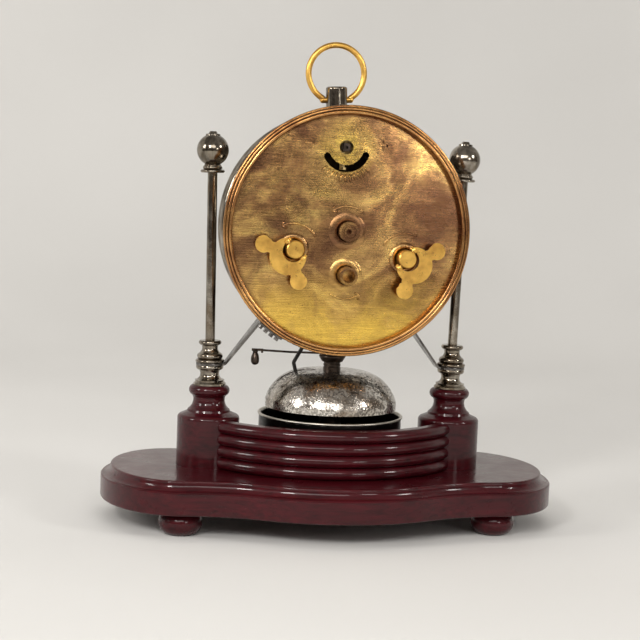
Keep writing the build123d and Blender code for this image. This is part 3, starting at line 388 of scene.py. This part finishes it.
def bright_brass():
    """Handled brass of the keys and ring: satin gold with grey-brown spots."""
    look = Look("bright_brass", Metallic=1.0)
    colour = look.ramp(look.noise(160, 5, 0.6), (0.3, (0.56, 0.30, 0.07)), (0.65, (0.92, 0.56, 0.13)))
    spots = look.ramp(look.cells(500), (0.05, 1.0), (0.16, 0.0))
    colour = look.mix(look.math("MULTIPLY", spots, 0.35), colour, (0.20, 0.12, 0.05))
    # Painted shade: darker brown where the surface is occluded in corners.
    corner_shade = look.ramp(look.hidden(0.002), (0.4, 1.0), (0.85, 0.0))
    colour = look.mix(look.math("MULTIPLY", corner_shade, 0.6), colour, (0.18, 0.09, 0.03))
    rough = look.ramp(look.noise(220, 5, 0.7), (0.3, 0.24), (0.72, 0.42))
    scratches = look.noise(500, 3, 0.6, look.stretched((0.5, 1, 4), turn=(0, 0.7, 0)))
    return look.finish(colour, rough, look.bump(scratches, 0.00006, 0.4))


def movement_brass():
    """Plain rolled brass of the movement, with a straight grain."""
    look = Look("movement_brass", Metallic=1.0)
    grain = look.noise(200, 4, 0.6, look.stretched((0.4, 4, 6)))
    colour = look.ramp(grain, (0.3, (0.58, 0.42, 0.18)), (0.7, (0.76, 0.58, 0.28)))
    rough = look.ramp(look.noise(150, 4), (0.3, 0.24), (0.7, 0.36))
    return look.finish(colour, rough, look.bump(grain, 0.00005, 0.4))


def oily_brass():
    """Back plate of the movement, black with old oil and dust."""
    look = Look("oily_brass", Metallic=1.0)
    colour = look.ramp(look.noise(220, 5, 0.65), (0.35, (0.004, 0.003, 0.002)), (0.75, (0.03, 0.02, 0.01)))
    rough = look.ramp(look.noise(300, 4), (0.3, 0.45), (0.7, 0.7))
    return look.finish(colour, rough, look.bump(look.noise(600, 4), 0.0001, 0.4))


def spring_steel():
    """Blued spring strip with straw-coloured patches."""
    look = Look("spring_steel", Metallic=1.0)
    colour = look.ramp(look.noise(240, 4), (0.35, (0.07, 0.09, 0.16)), (0.7, (0.26, 0.22, 0.18)))
    rough = look.ramp(look.noise(400, 3), (0.3, 0.2), (0.7, 0.34))
    return look.finish(colour, rough, look.bump(look.noise(700, 2), 0.00004, 0.3))


def hand_black():
    """Black enamel on the hands, slightly uneven."""
    look = Look("hand_black", Coat_Weight=0.4, Coat_Roughness=0.2)
    colour = look.ramp(look.noise(500, 4), (0.3, (0.010, 0.010, 0.011)), (0.7, (0.03, 0.028, 0.026)))
    rough = look.ramp(look.noise(600, 3), (0.3, 0.3), (0.7, 0.5))
    return look.finish(colour, rough, look.bump(look.noise(800, 2), 0.00004, 0.4))


def dial_enamel():
    """Cream enamel, yellowed in clouds and towards the edge."""
    look = Look("dial_enamel", Coat_Weight=0.5, Coat_Roughness=0.12)
    radius, _ = about_drum(look)
    clouds = look.ramp(look.noise(50, 5, 0.6), (0.3, (0.70, 0.64, 0.50)), (0.7, (0.82, 0.78, 0.67)))
    edge = look.ramp(look.math("MULTIPLY", radius, 20.0), (0.82, 0.0), (1.0, 1.0))
    colour = look.mix(look.math("MULTIPLY", edge, 0.35), clouds, (0.45, 0.34, 0.20))
    rough = look.ramp(look.noise(300, 3), (0.3, 0.32), (0.7, 0.45))
    return look.finish(colour, rough, look.bump(look.noise(400, 3), 0.00004, 0.3))


def clear_glass():
    """Clear crystal of the dial, faintly uneven."""
    look = Look("clear_glass", Transmission_Weight=1.0, IOR=1.5)
    colour = look.ramp(look.noise(20, 2), (0.3, (0.96, 0.98, 0.97)), (0.7, (0.99, 1.0, 0.99)))
    rough = look.ramp(look.noise(90, 3), (0.4, 0.01), (0.75, 0.05))
    return look.finish(colour, rough, look.bump(look.noise(25, 1), 0.0001, 0.1))


MAKERS = {
    "lacquered_wood": lacquered_wood,
    "nickel": nickel,
    "spotted_nickel": spotted_nickel,
    "cup_steel": cup_steel,
    "dark_steel": dark_steel,
    "copper_rim": copper_rim,
    "aged_brass": aged_brass,
    "bright_brass": bright_brass,
    "movement_brass": movement_brass,
    "spring_steel": spring_steel,
    "dial_enamel": dial_enamel,
    "hand_black": hand_black,
    "clear_glass": clear_glass,
}
LOOKS = {slot: make() for slot, make in MAKERS.items()}


def dress(node, material):
    mesh = nodes[node].data
    mesh.materials.clear()
    mesh.materials.append(material)


def dress_nodes():
    """Gives every CAD node the material of its record slot, or a closer one of its own."""
    for part in frame["record"]["subparts"]:
        dress(part["node"], LOOKS[part["material_slot"]])
    worn = worn_nickel()
    special = {
        "movement_back_plate": oily_brass(),
        "hammer": black_iron(),
        "bracket_left": worn,
        "bracket_right": worn,
        "rim_clip": worn,
    }
    for node, material in special.items():
        dress(node, material)


# ------------------------------------------------------------------ fine surface work
SHARP = 40                  # degrees between faces that makes an edge worth breaking


def soften(node, width):
    """Breaks a CAD node's sharp edges so that they catch a thin line of light."""
    part = nodes[node]
    weld = part.modifiers.new("weld", "WELD")
    weld.merge_threshold = 1e-6
    bevel = part.modifiers.new("edge", "BEVEL")
    bevel.width = width
    bevel.segments = 2
    bevel.limit_method = "ANGLE"
    bevel.angle_limit = math.radians(SHARP)
    bevel.use_clamp_overlap = True


RIDGE_ROOT = 0.05 * MM      # a ridge starts this far under the face it stands on


def strip_mesh(name, lines, width, height, face_y, outward, material):
    """Low rounded ridges along lines of (x, z) points, standing outward from a plane across Y."""
    mesh = bmesh.new()
    arch = [(math.cos(math.pi * step / 6), math.sin(math.pi * step / 6)) for step in range(7)]
    for points in lines:
        rows = []
        for index, here in enumerate(points):
            before = points[max(index - 1, 0)]
            after = points[min(index + 1, len(points) - 1)]
            along = Vector((after[0] - before[0], after[1] - before[1])).normalized()
            side = Vector((-along.y, along.x)) * width / 2
            row = []
            for across, up in arch:
                x, z = here[0] + side.x * across, here[1] + side.y * across
                row.append(mesh.verts.new((x, face_y + outward * (height * up - RIDGE_ROOT), z)))
            rows.append(row)
        for first, second in zip(rows, rows[1:]):
            for index in range(len(arch) - 1):
                mesh.faces.new((first[index], first[index + 1], second[index + 1], second[index]))
        mesh.faces.new(rows[0])
        mesh.faces.new(rows[-1][::-1])
    bmesh.ops.recalc_face_normals(mesh, faces=mesh.faces)
    return linked_mesh(name, mesh, material)


def arc(centre, radius, first, last, count=16):
    """Points on an arc, in degrees from +X towards +Z."""
    angles = [math.radians(first + (last - first) * step / count) for step in range(count + 1)]
    return [(centre[0] + radius * math.cos(a), centre[1] + radius * math.sin(a)) for a in angles]


def arrow(centre, radius, first, last):
    """A curved arrow: its shaft and the two barbs of its head."""
    shaft = arc(centre, radius, first, last)
    tip = shaft[-1]
    head_turn = last + math.copysign(9, first - last)
    head_width = 1.7 * MM
    barbs = []
    for reach in (head_width, -head_width):
        barb = arc(centre, radius + reach, head_turn, head_turn, 1)[0]
        barbs.append([barb, tip])
    return [shaft] + barbs


def middle_of(node):
    low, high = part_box(node)
    return ((low[0] + high[0]) / 2, (low[2] + high[2]) / 2)


def cover_marks():
    """Plain pressed marks on the cover: setting and winding arrows, a plus and a minus."""
    balance = middle_of("balance_screw")
    lines = arrow((DRUM_X, DRUM_Z), 11.4 * MM, 128, 52)
    lines += arrow(middle_of("alarm_setting_arbor"), 11.0 * MM, -52, -128)
    lines += arrow(middle_of("time_winding_arbor"), 11.6 * MM, 150, 62)
    lines += arrow(middle_of("alarm_winding_arbor"), 11.6 * MM, 30, 118)
    apart = 17 * MM
    half = 2.2 * MM
    z = balance[1] + 1.5 * MM
    for side in (-1, 1):
        x = balance[0] + side * apart
        lines.append([(x - half, z), (x + half, z)])
        if side < 0:
            lines.append([(x, z - half), (x, z + half)])
    marks = strip_mesh("cover_marks", lines, 1.0 * MM, 0.35 * MM, COVER_FACE, 1, LOOKS["aged_brass"])
    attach(marks, "frame")


def slot_scale():
    """Fine radial ticks pressed into the cover below the regulator's slot."""
    ticks = 11
    first, last = 225, 315      # degrees from +X towards +Z
    ends = (12.2 * MM, 15.4 * MM)
    lines = []
    for tick in range(ticks):
        angle = math.radians(first + (last - first) * tick / (ticks - 1))
        across, up = math.cos(angle), math.sin(angle)
        lines.append([(REGULATOR_X + r * across, REGULATOR_Z + r * up) for r in ends])
    scale = strip_mesh("slot_scale", lines, 0.9 * MM, 0.55 * MM, COVER_FACE, 1, LOOKS["aged_brass"])
    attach(scale, "frame")


def dial_marks():
    """Black hour numbers and a minute track printed on the dial."""
    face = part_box("dial")[0][1]
    ink = LOOKS["hand_black"]
    lines = []
    for minute in range(60):
        angle = math.radians(6 * minute)
        inner = (42.0 if minute % 5 else 41.0) * MM
        ends = [(r * math.sin(angle) + DRUM_X, r * math.cos(angle) + DRUM_Z) for r in (inner, 44.4 * MM)]
        lines.append(ends)
    lines += [arc((DRUM_X, DRUM_Z), r * MM, 0, 360, 96) for r in (41.6, 44.6)]
    track = strip_mesh("minute_track", lines, 0.35 * MM, 0.07 * MM, face, -1, ink)
    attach(track, "frame")
    for hour in range(1, 13):
        angle = math.radians(30 * hour)
        text = bpy.data.curves.new("hour_%d" % hour, "FONT")
        text.body = str(hour)
        text.size = 10.5 * MM
        text.align_x = "CENTER"
        text.align_y = "CENTER"
        text.extrude = 0.03 * MM
        text.materials.append(ink)
        number = bpy.data.objects.new("hour_%d" % hour, text)
        bpy.context.scene.collection.objects.link(number)
        reach = 34.5 * MM
        across, up = reach * math.sin(angle), reach * math.cos(angle)
        number.location = (DRUM_X + across, face - 0.02 * MM, DRUM_Z + up)
        number.rotation_euler = (math.pi / 2, 0, 0)
        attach(number, "frame")


# ------------------------------------------------------------------ stage, lights and camera
def cloth():
    """Pale grey-white cloth of the floor and backdrop."""
    look = Look("stage_cloth", Specular_IOR_Level=0.1)
    colour = look.ramp(look.noise(1.6, 3), (0.3, (0.62, 0.615, 0.60)), (0.7, (0.70, 0.695, 0.68)))
    weave = look.noise(1400, 2)
    return look.finish(colour, 0.9, look.bump(weave, 0.0003, 0.3))


def stage_sheet(name, first_angle, last_angle, profile):
    """Floor and backdrop turned about Z between two angles. The profile is (radius, height)."""
    steps = 48
    mesh = bmesh.new()
    rows = []
    for index in range(steps + 1):
        turn = math.radians(first_angle + (last_angle - first_angle) * index / steps)
        rows.append([mesh.verts.new((r * math.cos(turn), r * math.sin(turn), z)) for r, z in profile])
    for here, there in zip(rows, rows[1:]):
        for index in range(len(profile) - 1):
            mesh.faces.new((here[index], here[index + 1], there[index + 1], there[index]))
    bmesh.ops.remove_doubles(mesh, verts=mesh.verts, dist=1e-6)
    return linked_mesh(name, mesh, STAGE_CLOTH)


BACKDROP_R = 0.62           # where the floor starts to bend up behind the clock
BACKDROP_BEND = 0.55
BACKDROP_TOP = 1.5
FLOOR_REACH = 1.45          # of the lit floor in front of the clock


def bend_profile():
    """Flat floor, round bend and upright wall."""
    profile = [(0.0, 0.0), (0.3, 0.0)]
    for index in range(13):
        angle = math.pi / 2 * index / 12
        radius = BACKDROP_R + BACKDROP_BEND * math.sin(angle)
        profile.append((radius, BACKDROP_BEND * (1 - math.cos(angle))))
    profile.append((BACKDROP_R + BACKDROP_BEND, BACKDROP_TOP))
    return profile


def linked_mesh(name, mesh, material):
    """Turns a bmesh into a smooth scene object with one material."""
    data = bpy.data.meshes.new(name)
    mesh.to_mesh(data)
    mesh.free()
    data.materials.append(material)
    for face in data.polygons:
        face.use_smooth = True
    thing = bpy.data.objects.new(name, data)
    bpy.context.scene.collection.objects.link(thing)
    return thing


CLOCK_MIDDLE = (0, 0, 0.12)
LAMP_WHITE = (1.0, 0.98, 0.95)


def softbox(name, place, size, power, aim=CLOCK_MIDDLE):
    """Rectangular soft lamp, in watts, turned to face its aim."""
    data = bpy.data.lights.new(name, "AREA")
    data.shape = "RECTANGLE"
    data.size, data.size_y = size
    data.energy = power
    data.color = LAMP_WHITE
    lamp = bpy.data.objects.new(name, data)
    bpy.context.scene.collection.objects.link(lamp)
    lamp.location = place
    lamp.rotation_euler = (Vector(aim) - Vector(place)).to_track_quat("-Z", "Y").to_euler()
    return lamp


def set_tones():
    """Plain tones, so that the darks stay dark beside the pale backdrop."""
    bpy.context.scene.view_settings.view_transform = "Standard"


def set_world():
    """A dim warm room: a paler ceiling over dark walls, for the metals to reflect."""
    world = bpy.data.worlds.new("studio")
    world.use_nodes = True
    tree = world.node_tree
    background = tree.nodes["Background"]
    place = tree.nodes.new("ShaderNodeTexCoord")
    split = tree.nodes.new("ShaderNodeSeparateXYZ")
    ramp = tree.nodes.new("ShaderNodeValToRGB")
    tree.links.new(place.outputs["Generated"], split.inputs[0])
    tree.links.new(split.outputs[2], ramp.inputs[0])
    tree.links.new(ramp.outputs[0], background.inputs["Color"])
    stops = ramp.color_ramp.elements
    stops[0].position = 0.1
    stops[0].color = (0.21, 0.18, 0.155, 1.0)
    stops[1].position = 0.8
    stops[1].color = (0.60, 0.56, 0.52, 1.0)
    background.inputs["Strength"].default_value = 0.6
    bpy.context.scene.world = world


CAMERA_YAW = 10.5           # degrees from +Y towards +X
CAMERA_PITCH = 5.6
CAMERA_ROLL = 2.3
CAMERA_DISTANCE = 0.80
CAMERA_AIM = (0.0066, 0.0, 0.0948)
PICTURE_PIXELS = 640
FOCAL_PIXELS = 1700
SENSOR = 36.0


def set_camera():
    """Looks slightly down on the clock's back from the +X side, a little rolled."""
    yaw = math.radians(CAMERA_YAW)
    pitch = math.radians(CAMERA_PITCH)
    back = Vector((math.sin(yaw) * math.cos(pitch), math.cos(yaw) * math.cos(pitch), math.sin(pitch)))
    data = bpy.data.cameras.new("camera")
    data.sensor_width = SENSOR
    data.lens = FOCAL_PIXELS * SENSOR / PICTURE_PIXELS
    data.clip_start = 0.05
    camera = bpy.data.objects.new("camera", data)
    bpy.context.scene.collection.objects.link(camera)
    turn = back.to_track_quat("Z", "Y").to_matrix().to_4x4()
    roll = Matrix.Rotation(math.radians(CAMERA_ROLL), 4, "Z")
    place = Matrix.Translation(Vector(CAMERA_AIM) + back * CAMERA_DISTANCE)
    camera.matrix_world = place @ turn @ roll
    bpy.context.scene.camera = camera


# ------------------------------------------------------------------ the scene
STAGE_CLOTH = cloth()
dress_nodes()
for thin_part in (
    "time_key_wing", "alarm_key_wing", "bracket_left", "bracket_right", "stop_lever", "rim_clip",
):
    soften(thin_part, 0.25 * MM)
cover_marks()
slot_scale()
dial_marks()

backdrop = stage_sheet("stage_behind", 180, 360, bend_profile())
floor = stage_sheet("stage_before", 0, 180, [(0.0, 0.0), (0.6, 0.0), (FLOOR_REACH, 0.0)])

set_tones()
set_world()
softbox("key_left", (0.60, 0.88, 0.66), (0.15, 0.20), 5)
softbox("side_left", (1.05, 0.30, 0.55), (0.25, 0.35), 4)
softbox("key_right", (-0.85, 0.62, 0.60), (0.15, 0.22), 3)
softbox("window", (-0.62, 1.45, 0.46), (0.30, 0.26), 2.2)
softbox("ceiling_card", (0.30, 1.60, 0.95), (1.3, 0.5), 9)
# The fills light the cloth without showing up as patches in the metals.
for fill in (
    softbox("overhead", (0.05, 0.05, 1.15), (0.9, 0.8), 1.5),
    softbox("floor_pool", (0.05, 0.72, 0.45), (0.35, 0.25), 1.3, aim=(0.05, 0.74, 0.0)),
    softbox("wash", (0.20, -0.25, 1.25), (1.2, 0.4), 4.0, aim=(0.30, -1.15, 0.50)),
):
    fill.visible_glossy = False
set_camera()
